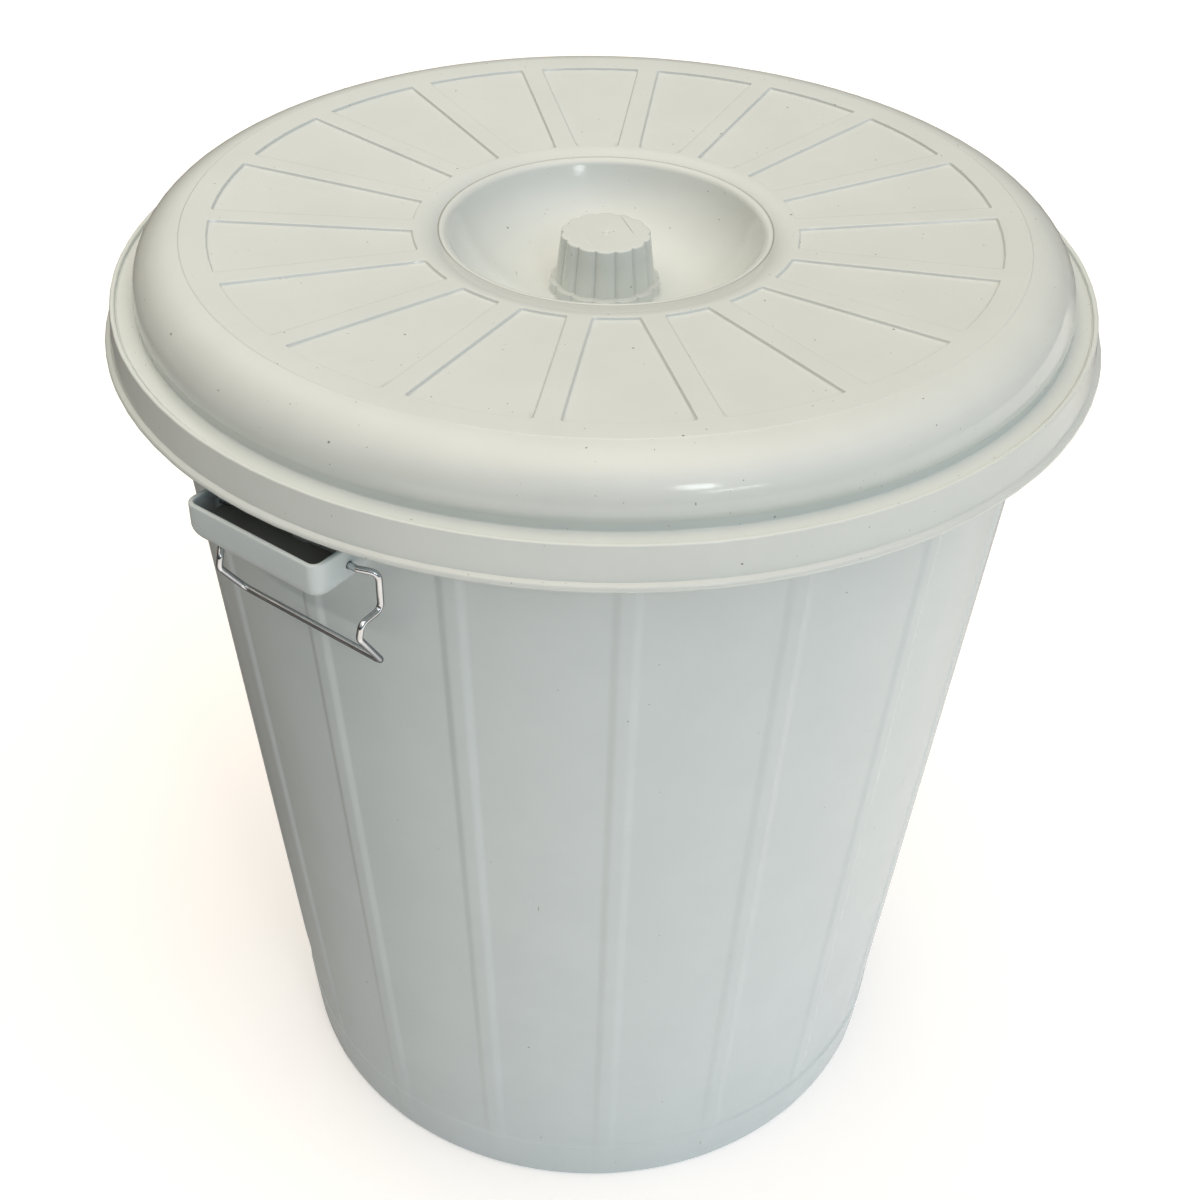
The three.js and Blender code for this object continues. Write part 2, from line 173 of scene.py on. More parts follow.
FLOAT, WHOLE, GEOMETRY = "NodeSocketFloat", "NodeSocketInt", "NodeSocketGeometry"


def shape_tree(name, sizes):
    inputs = {"Geometry": (GEOMETRY, None)}
    inputs.update(sizes)
    inputs["Finish"] = ("NodeSocketMaterial", None)
    return new_tree(name, "GeometryNodeTree", inputs, {"Geometry": GEOMETRY})


def close_shape(wiring, geometry, given, result):
    """Every shape tree ends alike: smooth faces, no instances, and its finish."""
    smooth = wiring.node("GeometryNodeSetShadeSmooth", {"Geometry": geometry})
    real = wiring.node("GeometryNodeRealizeInstances", {"Geometry": smooth.outputs[0]})
    dressed = wiring.node("GeometryNodeSetMaterial", {
        "Geometry": real.outputs[0], "Material": given["Finish"],
    })
    wiring.feed(result["Geometry"], dressed.outputs[0])


def share_of(wiring, name):
    return wiring.node("GeometryNodeInputNamedAttribute", {"Name": name}, data_type="FLOAT").outputs[0]


def moved(wiring, geometry, offset):
    return wiring.node("GeometryNodeSetPosition", {"Geometry": geometry, "Offset": offset}).outputs[0]


def nearest_spoke(wiring, angle, count):
    """Angle from the nearest of count evenly spaced spokes, the first at angle 0."""
    pitch = wiring.math("DIVIDE", math.tau, count)
    whole = wiring.math("ROUND", wiring.math("DIVIDE", angle, pitch))
    return wiring.math("SUBTRACT", angle, wiring.math("MULTIPLY", whole, pitch)), pitch


def ribs_tree():
    """Lifts soft upright ribs from a turned wall, wherever its rib_share is above zero."""
    tree, w, given, result = shape_tree("Upright ribs", {
        "Ribs": (WHOLE, RIB_COUNT), "Foot width": (FLOAT, RIB_FOOT * MM),
        "Crest width": (FLOAT, RIB_CREST * MM), "Height": (FLOAT, RIB_HEIGHT * MM),
    })
    place = w.node("GeometryNodeInputPosition").outputs[0]
    radius, angle, x, y = w.polar(place)
    local, _ = nearest_spoke(w, angle, given["Ribs"])
    aside = w.math("ABSOLUTE", w.math("MULTIPLY", radius, w.math("SINE", local)))
    foot = w.math("MULTIPLY", given["Foot width"], 0.5)
    crest = w.math("MULTIPLY", given["Crest width"], 0.5)
    rise = w.math("SUBTRACT", 1.0, w.ramp(aside, crest, foot))
    lift = w.math("MULTIPLY", w.math("MULTIPLY", rise, given["Height"]), share_of(w, "rib_share"))
    each = w.math("DIVIDE", lift, w.math("MAXIMUM", radius, MM))
    offset = w.vector(w.math("MULTIPLY", x, each), w.math("MULTIPLY", y, each))
    close_shape(w, moved(w, given["Geometry"], offset), given, result)
    return tree


def panels_tree():
    """Sinks a fan of panels with rounded corners and a slightly bowed floor between straight bars."""
    tree, w, given, result = shape_tree("Sunk panels", {
        "Panels": (WHOLE, PANEL_COUNT), "Bar width": (FLOAT, BAR_WIDTH * MM),
        "Inner radius": (FLOAT, PANEL_INNER * MM), "Outer radius": (FLOAT, PANEL_OUTER * MM),
        "Depth": (FLOAT, PANEL_DEPTH * MM), "Edge width": (FLOAT, 0.9 * MM),
        "Corner": (FLOAT, 1.6 * MM), "Bow": (FLOAT, 0.25 * MM),
    })
    radius, angle, _, _ = w.polar(w.node("GeometryNodeInputPosition").outputs[0])
    local, pitch = nearest_spoke(w, angle, given["Panels"])
    from_bar = w.math("SUBTRACT", w.math("MULTIPLY", pitch, 0.5), w.math("ABSOLUTE", local))
    aside = w.math("MULTIPLY", radius, w.math("SINE", from_bar))
    over_bar = w.math("SUBTRACT", w.math("MULTIPLY", given["Bar width"], 0.5), aside)
    over_end = w.math("MAXIMUM", w.math("SUBTRACT", given["Inner radius"], radius),
                      w.math("SUBTRACT", radius, given["Outer radius"]))
    a = w.math("ADD", over_bar, given["Corner"])
    b = w.math("ADD", over_end, given["Corner"])
    out_a = w.math("MAXIMUM", a, 0.0)
    out_b = w.math("MAXIMUM", b, 0.0)
    outside = w.math("SQRT", w.math("ADD", w.math("MULTIPLY", out_a, out_a),
                                    w.math("MULTIPLY", out_b, out_b)))
    inside = w.math("MINIMUM", w.math("MAXIMUM", a, b), 0.0)
    edge = w.math("SUBTRACT", w.math("ADD", outside, inside), given["Corner"])
    half = w.math("MULTIPLY", given["Edge width"], 0.5)
    sunk = w.math("MULTIPLY", w.ramp(edge, w.math("MULTIPLY", half, -1.0), half, 1.0, 0.0),
                  given["Depth"])
    bowed = w.math("MULTIPLY", w.ramp(edge, -14 * MM, 0.0, 1.0, 0.0), given["Bow"])
    drop = w.math("MULTIPLY", w.math("ADD", sunk, bowed), -1.0)
    close_shape(w, moved(w, given["Geometry"], w.vector(z=drop)), given, result)
    return tree


def flutes_tree():
    """Draws narrow grooves between broad lobes, wherever flute_share is above zero."""
    tree, w, given, result = shape_tree("Flutes", {
        "Flutes": (WHOLE, FLUTES), "Depth": (FLOAT, FLUTE_DEPTH * MM), "Turn": (FLOAT, FLUTE_TURN),
        "Sharpness": (FLOAT, 0.5),
    })
    radius, angle, x, y = w.polar(w.node("GeometryNodeInputPosition").outputs[0])
    phase = w.math("MULTIPLY", w.math("MULTIPLY", w.math("SUBTRACT", angle, given["Turn"]),
                                      given["Flutes"]), 0.5)
    swell = w.math("POWER", w.math("ABSOLUTE", w.math("COSINE", phase)), given["Sharpness"])
    groove = w.math("MULTIPLY", w.math("SUBTRACT", swell, 1.0), given["Depth"])
    inward = w.math("MULTIPLY", groove, share_of(w, "flute_share"))
    each = w.math("DIVIDE", inward, w.math("MAXIMUM", radius, MM))
    offset = w.vector(w.math("MULTIPLY", x, each), w.math("MULTIPLY", y, each))
    close_shape(w, moved(w, given["Geometry"], offset), given, result)
    return tree


def wire_tree():
    """Bends a line of straight runs round its corners and gives it the thickness of a wire."""
    tree, w, given, result = shape_tree("Bent wire", {
        "Wire": (FLOAT, WIRE * MM), "Bend": (FLOAT, WIRE_BEND * MM), "Bend steps": (WHOLE, 10),
        "Sides": (WHOLE, 20),
    })
    line = w.node("GeometryNodeMeshToCurve", {"Mesh": given["Geometry"]})
    bent = w.node("GeometryNodeFilletCurve", {"Curve": line.outputs[0]})
    for socket in bent.inputs:
        if socket.name == "Radius":
            w.feed(socket, given["Bend"])
        elif socket.name == "Count":
            w.feed(socket, given["Bend steps"])
        elif socket.name == "Limit Radius":
            socket.default_value = True
    if hasattr(bent, "mode"):
        bent.mode = "POLY"
    span = w.node("GeometryNodeSplineParameter").outputs["Length"]
    marked = w.node("GeometryNodeStoreNamedAttribute", {
        "Geometry": bent.outputs[0], "Name": "along", "Value": span,
    }, data_type="FLOAT", domain="POINT")
    section = w.node("GeometryNodeCurvePrimitiveCircle", {
        "Resolution": given["Sides"], "Radius": w.math("MULTIPLY", given["Wire"], 0.5),
    })
    swept = w.node("GeometryNodeCurveToMesh", {
        "Curve": marked.outputs[0], "Profile Curve": section.outputs[0], "Fill Caps": True,
    })
    close_shape(w, swept.outputs[0], given, result)
    return tree


def formed(obj, tree, **inputs):
    """Runs a shape tree on a piece and keeps the result as its plain mesh."""
    modifier = obj.modifiers.new(tree.name, "NODES")
    modifier.node_group = tree
    for item in tree.interface.items_tree:
        if item.item_type == "SOCKET" and item.in_out == "INPUT" and item.name in inputs:
            modifier[item.identifier] = inputs[item.name]
    bpy.context.view_layer.update()
    evaluated = obj.evaluated_get(bpy.context.evaluated_depsgraph_get())
    mesh = bpy.data.meshes.new_from_object(evaluated)
    obj.modifiers.clear()
    obj.data = mesh
    mesh.name = obj.name
    return obj


# ================================================================ mesh helpers
def rounded_line(corners, steps=6):
    """A line of (radius, height) points; a corner's third number rounds it with that radius."""
    points = [np.array(c[:2], float) for c in corners]
    line = [points[0]]
    for i in range(1, len(points) - 1):
        here = points[i]
        rounding = corners[i][2] if len(corners[i]) > 2 else 0.0
        back, ahead = points[i - 1] - here, points[i + 1] - here
        back_length, ahead_length = np.linalg.norm(back), np.linalg.norm(ahead)
        back, ahead = back / back_length, ahead / ahead_length
        half = math.acos(float(np.clip(back @ ahead, -1, 1))) / 2
        if rounding <= 0 or half > math.radians(89.5):
            line.append(here)
            continue
        cut = min(rounding / math.tan(half), 0.48 * back_length, 0.48 * ahead_length)
        radius = cut * math.tan(half)
        bisector = back + ahead
        centre = here + bisector / np.linalg.norm(bisector) * radius / math.sin(half)
        start, end = here + back * cut - centre, here + ahead * cut - centre
        sweep = math.pi - 2 * half
        for k in range(steps + 1):
            a, b = sweep * (1 - k / steps), sweep * k / steps
            line.append(centre + (start * math.sin(a) + end * math.sin(b)) / math.sin(sweep))
    line.append(points[-1])
    return np.array(line)


def arc(centre, across, up, start, end, steps):
    turns = np.radians(np.linspace(start, end, steps + 1))
    return [(centre[0] + across * math.cos(t), centre[1] + up * math.sin(t)) for t in turns]


def offset_line(points, distance):
    """The line moved to its right by a distance, its corners mitred."""
    points = np.array([p[:2] for p in points], float)
    runs = np.diff(points, axis=0)
    runs /= np.linalg.norm(runs, axis=1)[:, None]
    into = np.vstack([runs[:1], runs])
    out = np.vstack([runs, runs[-1:]])
    along = into + out
    along /= np.linalg.norm(along, axis=1)[:, None]
    reach = distance / np.einsum("ij,ij->i", along, out)
    moved_points = points + np.column_stack([along[:, 1], -along[:, 0]]) * reach[:, None]
    moved_points[:, 0] = np.maximum(moved_points[:, 0], 0)
    return moved_points


def with_stops(line, radii):
    """Adds points to a line wherever it crosses one of the radii."""
    result = [line[0]]
    for a, b in zip(line[:-1], line[1:]):
        low, high = sorted((a[0], b[0]))
        inside = [r for r in radii if low + 0.02 < r < high - 0.02]
        for r in sorted(inside, reverse=bool(b[0] < a[0])):
            result.append(a + (b - a) * (r - a[0]) / (b[0] - a[0]))
        result.append(b)
    return np.array(result)


def spoke_angles(radius, count, turn, asides, between):
    """Angles of mesh columns that run beside count spokes, at these distances from each."""
    pitch = math.tau / count
    near = np.arcsin(np.array(asides) / radius)
    gap = np.linspace(near[-1], pitch - near[-1], between + 2)[1:-1]
    one = np.concatenate([[0.0], near, gap, pitch - near[::-1]])
    return np.concatenate([turn + k * pitch + one for k in range(count)])


def new_piece(name, vertices, faces, shares=None):
    """A mesh object at the origin from millimetre points, its faces outward."""
    mesh = bpy.data.meshes.new(name)
    mesh.from_pydata((np.asarray(vertices, float) * MM).tolist(), [], faces)
    bm = bmesh.new()
    bm.from_mesh(mesh)
    if faces:
        bmesh.ops.recalc_face_normals(bm, faces=bm.faces)
    bm.to_mesh(mesh)
    bm.free()
    for label, values in (shares or {}).items():
        attribute = mesh.attributes.new(label, "FLOAT", "POINT")
        attribute.data.foreach_set("value", np.asarray(values, np.float32))
    mesh.shade_smooth()
    obj = bpy.data.objects.new(name, mesh)
    bpy.context.scene.collection.objects.link(obj)
    return obj


def turned(name, line, angles_at, share=None):
    """A closed body turned from a line that starts and ends on the axis."""
    rings = line[1:-1]
    rows = []
    for radius, height in rings:
        angles = angles_at(radius)
        rows.append(np.column_stack([
            radius * np.cos(angles), radius * np.sin(angles), np.full(len(angles), height)]))
    count = len(rows[0])
    vertices = np.vstack(rows + [[[0, 0, line[0][1]]], [[0, 0, line[-1][1]]]])
    first, last = len(vertices) - 2, len(vertices) - 1
    faces = []
    for i in range(len(rings) - 1):
        base = i * count
        for k in range(count):
            n = (k + 1) % count
            faces.append((base + k, base + n, base + count + n, base + count + k))
    end = (len(rings) - 1) * count
    for k in range(count):
        n = (k + 1) % count
        faces.append((first, n, k))
        faces.append((last, end + k, end + n))
    shares = {label: rule(np.hypot(vertices[:, 0], vertices[:, 1]), vertices[:, 2])
              for label, rule in (share or {}).items()}
    return new_piece(name, vertices, faces, shares)


def lofted(name, loops, shares=None):
    """A closed body over matching closed loops of points, capped at both ends."""
    count = len(loops[0])
    vertices = np.vstack(loops)
    faces = []
    for i in range(len(loops) - 1):
        base = i * count
        for k in range(count):
            n = (k + 1) % count
            faces.append((base + k, base + n, base + count + n, base + count + k))
    faces.append(tuple(range(count)))
    end = (len(loops) - 1) * count
    faces.append(tuple(range(end, end + count)))
    return new_piece(name, vertices, faces, shares)


def smooth_between(value, low, high):
    t = np.clip((value - low) / (high - low), 0, 1)
    return t * t * (3 - 2 * t)


def placed(obj, body, node):
    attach(obj, body)
    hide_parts(node)
    return obj


# ================================================================ tub
def wall_radius(height):
    return FOOT_RADIUS + WALL_SLOPE * height


def tub_line():
    inner_foot = wall_radius(FLOOR_TOP) - WALL
    rim_inner = RIM_RADIUS - RIM_THICKNESS
    rim_under = TUB_TOP - RIM_THICKNESS
    ring_top = wall_radius(FOOT_RING_TOP)
    outer_wall = [(wall_radius(h), h) for h in np.linspace(60, 490, 6)]
    inner_wall = [(wall_radius(h) - WALL, h) for h in np.linspace(490, 60, 6)]
    return rounded_line([
        (0, FLOOR_UNDER), (167.5, FLOOR_UNDER, 3), (173.5, 0, 1.2),
        (wall_radius(0) + FOOT_RING_PROUD, 0, 3.5),
        (ring_top + FOOT_RING_PROUD, FOOT_RING_TOP - 0.8, 1.5),
        (ring_top, FOOT_RING_TOP + 1.6, 1.5),
        *outer_wall,
        (WALL_TOP_RADIUS, SHOULDER, 7), (WALL_TOP_RADIUS + 5.5, rim_under, 3.5),
        (rim_inner, rim_under, 1.5), (rim_inner, RIM_BOTTOM, 0.4), (RIM_RADIUS, RIM_BOTTOM, 0.8),
        (RIM_RADIUS, TUB_TOP, 1.6),
        (WALL_TOP_RADIUS + 2.5, TUB_TOP, 4), (WALL_TOP_RADIUS - WALL, SHOULDER, 6),
        *inner_wall,
        (inner_foot, FLOOR_TOP, 12), (0, FLOOR_TOP),
    ])


def rib_share(radius, height):
    outside = radius > wall_radius(height) - WALL / 2
    low = 0.35 * smooth_between(height, 0.0, 8.0) + 0.65 * smooth_between(height, 28.0, 70.0)
    high = 1 - smooth_between(height, 503.0, 513.0)
    return outside * low * high


def tub_columns(radius):
    return spoke_angles(max(radius, 160.0), RIB_COUNT, 0.0,
                        [1.5, 2.5, 3.2, 4.0, 5.0, 6.0, 6.8, 7.5, 8.5], 5)


def ear_loop(inset, height, back, corner):
    """One closed loop of an ear: along the tub's wall, then round the side, front and side."""
    half = EAR_HALF - inset
    reach = EAR_REACH - inset
    radius = wall_radius(height) - back
    root = math.sqrt(radius ** 2 - half ** 2)
    points = [(math.sqrt(radius ** 2 - y ** 2), y) for y in np.linspace(half, -half, 17)]
    points += [(x, -half) for x in np.linspace(root, reach - corner, 7)[1:]]
    points += arc((reach - corner, corner - half), corner, corner, -90, 0, 8)[1:]
    points += [(reach, y) for y in np.linspace(corner - half, half - corner, 13)[1:]]
    points += arc((reach - corner, half - corner), corner, corner, 0, 90, 8)[1:]
    points += [(x, half) for x in np.linspace(reach - corner, root, 7)[1:-1]]
    return np.array([(x, y, height) for x, y in points])


def ear(name, turn, finish):
    """An open tray on the wall, its end walls bored for the bail."""
    outer_back, inner_back = 2.0, 0.8
    inner_corner, inner_round = EAR_CORNER - EAR_WALL, EAR_ROUND - EAR_WALL
    floor = EAR_BOTTOM + EAR_WALL
    steps = [(EAR_ROUND + 4, EAR_BOTTOM, outer_back, EAR_CORNER, 0.0)]
    steps += [(inset, height, outer_back, EAR_CORNER, 0.0) for inset, height in arc(
        (EAR_ROUND, EAR_BOTTOM + EAR_ROUND), -EAR_ROUND, EAR_ROUND, -90, 0, 12)]
    steps += [(inset, EAR_TOP - down, back, EAR_CORNER - inset, 0.0) for inset, down, back in [
        (0.0, 6.0, outer_back), (0.0, 1.2, outer_back), (0.06, 0.5, outer_back),
        (0.3, 0.15, outer_back), (0.7, 0.0, outer_back), (1.8, 0.0, inner_back),
        (2.2, 0.15, inner_back), (2.44, 0.5, inner_back)]]
    # deeper in the pocket the colour darkens more: painted shade
    steps += [(EAR_WALL, EAR_TOP - down, inner_back, inner_corner, dirt_and_shade)
              for down, dirt_and_shade in [(2.0, 0.2), (6.0, 0.7)]]
    steps += [(EAR_WALL + inset, height, inner_back, inner_corner, 1.0) for inset, height in arc(
        (inner_round, floor + inner_round), -inner_round, inner_round, 0, -90, 8)]
    loops = [ear_loop(*step[:4]) for step in steps]
    pocket_shades = [step[4] for step, loop in zip(steps, loops) for _ in loop]
    tray = lofted(name, loops, {"dirt_and_shade": pocket_shades})
    bore = bore_tool()
    modifier = tray.modifiers.new("bore", "BOOLEAN")
    modifier.object, modifier.solver = bore, "EXACT"
    bpy.context.view_layer.update()
    evaluated = tray.evaluated_get(bpy.context.evaluated_depsgraph_get())
    mesh = bpy.data.meshes.new_from_object(evaluated)
    tray.modifiers.clear()
    tray.data = mesh
    bpy.data.objects.remove(bore)
    mesh.transform(Matrix.Rotation(turn, 4, "Z"))
    mesh.set_sharp_from_angle(angle=math.radians(40))
    mesh.materials.clear()
    mesh.materials.append(finish)
    return placed(tray, "tub", "tub")


def bore_tool():
    turns = np.linspace(0, math.tau, 33)[:-1]
    loops = [np.array([(PIVOT_REACH + BORE_RADIUS * math.cos(t), y,
                        PIVOT_HEIGHT + BORE_RADIUS * math.sin(t)) for t in turns])
             for y in (-EAR_HALF - 4, EAR_HALF + 4)]
    return lofted("bore", loops)


# ================================================================ bails
def bail_side(overhang, lean, drop):
    """Half of a bail's centre line on the +Y side, from inside the ear down to the crossbar."""
    arm = EAR_HALF + overhang
    foot = arm - lean
    arm_reach = PIVOT_REACH - 4.5
    kink_top = PIVOT_HEIGHT - 20.5 - drop
    return [
        (PIVOT_REACH, 33.5, PIVOT_HEIGHT), (PIVOT_REACH, EAR_HALF + 0.35 * overhang, PIVOT_HEIGHT),
        (arm_reach, arm, PIVOT_HEIGHT - 1), (arm_reach, arm, kink_top),
        (arm_reach + 12.6, foot, kink_top - 1), (arm_reach + 14.6, foot, kink_top - 8),
        (PIVOT_REACH - 3.2, foot, PIVOT_HEIGHT - 50),
    ]


def bail(name, side, finish, tree):
    """One bent wire, a little uneven; side is 1 for the +X ear and -1 for the -X ear."""
    short = [(x, -y, z) for x, y, z in bail_side(6.0, 12.0, 2.5)]
    path = np.array(short + bail_side(13.0, 0.0, 0.0)[::-1])
    path[:, :2] *= side
    wire = new_piece(f"{name}_wire", path, [])
    bm = bmesh.new()
    bm.from_mesh(wire.data)
    bm.verts.ensure_lookup_table()
    for i in range(len(bm.verts) - 1):
        bm.edges.new((bm.verts[i], bm.verts[i + 1]))
    bm.to_mesh(wire.data)
    bm.free()
    formed(wire, tree, Finish=finish)
    return placed(wire, name, name)


# ================================================================ lid
def lid_line():
    bend = 2 * math.atan((DISH_RIM - DISH_FLOOR) / (DISH_RADIUS - DISH_FLOOR_RADIUS))
    slope = math.degrees(bend)
    lip_round = arc((DISH_RADIUS - GROOVE_HALF, DISH_RIM - DISH_ROUND), DISH_ROUND, DISH_ROUND,
                    90 + slope, 90, 6)
    curve = (lip_round[0][1] - DISH_FLOOR) / (1 - math.cos(bend))
    dish = arc((lip_round[0][0] - curve * math.sin(bend), DISH_FLOOR + curve), curve, curve, -90,
               slope - 90, 12)
    crest_edge = (CREST_RADIUS - 0.7, CREST_HEIGHT - 0.3)
    groove = [(DISH_RADIUS, DISH_RIM - GROOVE_DEPTH), (DISH_RADIUS + GROOVE_HALF, DISH_RIM)]
    dome = arc((CREST_RADIUS, DOME_EDGE_HEIGHT), DOME_EDGE_RADIUS - CREST_RADIUS,
               CREST_HEIGHT - 0.7 - DOME_EDGE_HEIGHT, 90, 0, 18)
    top = [(0, DISH_FLOOR), *dish, *lip_round[1:], *groove, (*crest_edge, 0.2), (*dome[0], 0.2),
           *dome[1:], (NECK_RADIUS, DOME_EDGE_HEIGHT - 1.6, 0.5), (NECK_RADIUS, FLANGE_TOP, 0.7)]
    lip_inner = LIP_RADIUS - LIP_WIDTH
    edge = [(lip_inner - 0.7, FLANGE_TOP, 0.2), (lip_inner - 0.45, FLANGE_TOP - 0.4, 0.15),
            (lip_inner + 0.1, FLANGE_TOP - 0.3, 0.2), (lip_inner + 0.3, LIP_TOP, 0.9),
            (LIP_RADIUS, LIP_TOP, 0.9), (SKIRT_FOOT_RADIUS - 0.55, SKIRT_BOTTOM + 3.9, 0.5),
            *arc((SKIRT_FOOT_RADIUS + 0.5, SKIRT_BOTTOM + BEAD_RADIUS), BEAD_RADIUS, BEAD_RADIUS,
                 65, -90, 12),
            (SKIRT_FOOT_RADIUS - SKIRT_WALL, SKIRT_BOTTOM, 0.5),
            (SKIRT_INNER, FLANGE_TOP - LID_WALL, 1.2)]
    plain = [(0, DISH_FLOOR), *dish, *lip_round[2::2], crest_edge, *dome[::2],
              (NECK_RADIUS, DOME_EDGE_HEIGHT - 1.6),
              (NECK_RADIUS, FLANGE_TOP), (lip_inner, FLANGE_TOP)]
    under = [tuple(p) for p in offset_line(plain, LID_WALL)[:-1][::-1]]
    middle = list(np.linspace(108, 190, 5))
    outside_stops, underside_stops = [
        sorted(middle + [r + s * n for r in (PANEL_INNER, PANEL_OUTER) for n in near for s in (-1, 1)])
        for near in ([0.01, 0.15, 0.3, 0.5, 0.8], [0.6])]
    line = rounded_line([*top, *edge, *under])
    skirt_foot = int(np.argmin(line[:, 1] + line[:, 0] * 0.001))
    outside = with_stops(line[:skirt_foot + 1], outside_stops)
    underside = with_stops(line[skirt_foot:], underside_stops)
    return np.vstack([outside, underside[1:]])


def lid_groove_darkening(radius, height):
    """Darker along the fine groove round the dish."""
    from_groove = np.hypot(radius - DISH_RADIUS, height - DISH_RIM + GROOVE_DEPTH)
    return 1 - smooth_between(from_groove, 0.0, 0.6)


def lid_columns(radius):
    return spoke_angles(min(max(radius, 94.0), 205.0), PANEL_COUNT, math.pi / PANEL_COUNT,
                        [3.0, 5.0, 5.5, 5.8, 6.0, 6.2, 6.5, 7.0, 9.0], 3)


def knob_line():
    top = DISH_FLOOR + KNOB_HEIGHT
    ledge = DISH_FLOOR + PLINTH_HEIGHT
    sunk = DISH_FLOOR - 1.2
    walls = [(KNOB_FOOT_RADIUS + (KNOB_TOP_RADIUS - KNOB_FOOT_RADIUS) * t, ledge + (top - ledge) * t)
             for t in (0.33, 0.66)]
    return rounded_line([
        (0, sunk), (PLINTH_RADIUS + 2.0, sunk), (PLINTH_RADIUS + 1.6, DISH_FLOOR + 0.1, 0.3),
        (PLINTH_RADIUS + 0.5, DISH_FLOOR + 0.5, 0.8),
        (PLINTH_RADIUS, ledge, 1.1), (KNOB_FOOT_RADIUS, ledge, 0.7), *walls,
        (KNOB_TOP_RADIUS, top, 0.9), (20.0, top), (12.0, top), (2.4, top, 0.2),
        (1.7, top - 0.5, 0.3), (1.1, top + 0.1, 0.3), (0, top + 0.1),
    ])


def flute_share(radius, height):
    on_top = smooth_between(radius, 16.0, 22.0)
    foot = smooth_between(height, DISH_FLOOR - 0.5, DISH_FLOOR + 1.5)
    return on_top * foot


def knob_side_shade(radius, height):
    # painted shade: the knob's fluted sides darker than its top
    side = smooth_between(DISH_FLOOR + KNOB_HEIGHT - height, 0.2, 1.5)
    return 0.2 * side * flute_share(radius, height)


def knob_columns(radius):
    return np.linspace(0, math.tau, FLUTES * 18, endpoint=False) + FLUTE_TURN


# ================================================================ finishes
PALE_MARK, DARK_MARK = (0.80, 0.81, 0.78, 1), (0.22, 0.21, 0.18, 1)
LEVEL_HAIRS = [(0, 0, math.radians(turn)) for turn in (28, 118, -55)]
UPRIGHT_HAIRS = [(0, math.radians(turn), 0) for turn in (90, 62, 84)]


def finish_group(name, inputs, outputs):
    return new_tree(name, "ShaderNodeTree", {"Place": ("NodeSocketVector", None), **inputs}, outputs)


def specks_group():
    """Small specks, one in some of the cells of a loose grid."""
    tree, w, given, result = finish_group("Specks", {
        "Spacing": (FLOAT, 0.01), "Size": (FLOAT, 0.0006), "Share": (FLOAT, 0.5),
        "Raggedness": (FLOAT, 0.0008),
    }, {"Mask": FLOAT})
    ragged = w.node("ShaderNodeTexNoise", {"Vector": given["Place"], "Scale": 900.0, "Detail": 1.0})
    shifted = w.node("ShaderNodeVectorMath", {
        0: ragged.outputs["Color"], 1: (-0.5, -0.5, -0.5)}, operation="ADD").outputs[0]
    reach = w.vector(given["Raggedness"], given["Raggedness"], given["Raggedness"])
    nudged = w.node("ShaderNodeVectorMath", {
        0: shifted, 1: reach, 2: given["Place"]}, operation="MULTIPLY_ADD")
    cells = w.node("ShaderNodeTexVoronoi", {
        "Vector": nudged.outputs[0], "Scale": w.math("DIVIDE", 1.0, given["Spacing"]),
        "Randomness": 1.0})
    distance = w.math("MULTIPLY", cells.outputs["Distance"], given["Spacing"])
    lot, other, _ = w.parts(cells.outputs["Color"])
    size = w.math("MULTIPLY", given["Size"], w.math("ADD", 0.4, other))
    near = w.ramp(distance, w.math("MULTIPLY", size, 0.6), size, 1.0, 0.0)
    kept = w.math("LESS_THAN", lot, given["Share"])
    w.feed(result["Mask"], w.math("MULTIPLY", near, kept))
    return tree


def hairlines_group(specks):
    """Straight fine scratches: specks drawn out along one way across the surface."""
    tree, w, given, result = finish_group("Hairlines", {
        "Turn": ("NodeSocketVector", (0.0, 0.0, 0.0)), "Length": (FLOAT, 40.0),
        "Spacing": (FLOAT, 0.006), "Width": (FLOAT, 0.0003), "Share": (FLOAT, 0.3),
    }, {"Mask": FLOAT})
    turned_place = w.node("ShaderNodeVectorRotate", {
        "Vector": given["Place"], "Rotation": given["Turn"]}, rotation_type="EULER_XYZ").outputs[0]
    x, y, z = w.parts(turned_place)
    drawn = w.vector(w.math("DIVIDE", x, given["Length"]), y, z)
    marks = group_node(w, specks, drawn, Spacing=given["Spacing"], Size=given["Width"],
                       Share=given["Share"], Raggedness=0.0)
    w.feed(result["Mask"], marks["Mask"])
    return tree


def moulding_group():
    """A moulded skin: long waves that bend reflections, a fine peel, and uneven gloss."""
    tree, w, given, result = finish_group("Moulded skin", {
        "Wave": (FLOAT, 12.0), "Wave depth": (FLOAT, 0.2), "Peel depth": (FLOAT, 0.012),
        "Gloss": (FLOAT, 0.15), "Unevenness": (FLOAT, 0.06),
    }, {"Height": FLOAT, "Roughness": FLOAT, "Tone": FLOAT})
    wave = w.node("ShaderNodeTexNoise", {
        "Vector": given["Place"], "Scale": given["Wave"], "Detail": 1.0}).outputs["Fac"]
    peel = w.node("ShaderNodeTexNoise", {
        "Vector": given["Place"], "Scale": 700.0, "Detail": 2.0}).outputs["Fac"]
    patch = w.node("ShaderNodeTexNoise", {
        "Vector": given["Place"], "Scale": 22.0, "Detail": 4.0, "Roughness": 0.6}).outputs["Fac"]
    height = w.math("ADD", w.math("MULTIPLY", wave, given["Wave depth"]),
                    w.math("MULTIPLY", peel, given["Peel depth"]))
    w.feed(result["Height"], height)
    around = w.math("MULTIPLY", w.math("SUBTRACT", patch, 0.5), given["Unevenness"])
    w.feed(result["Roughness"], w.math("ADD", given["Gloss"], around))
    w.feed(result["Tone"], patch)
    return tree


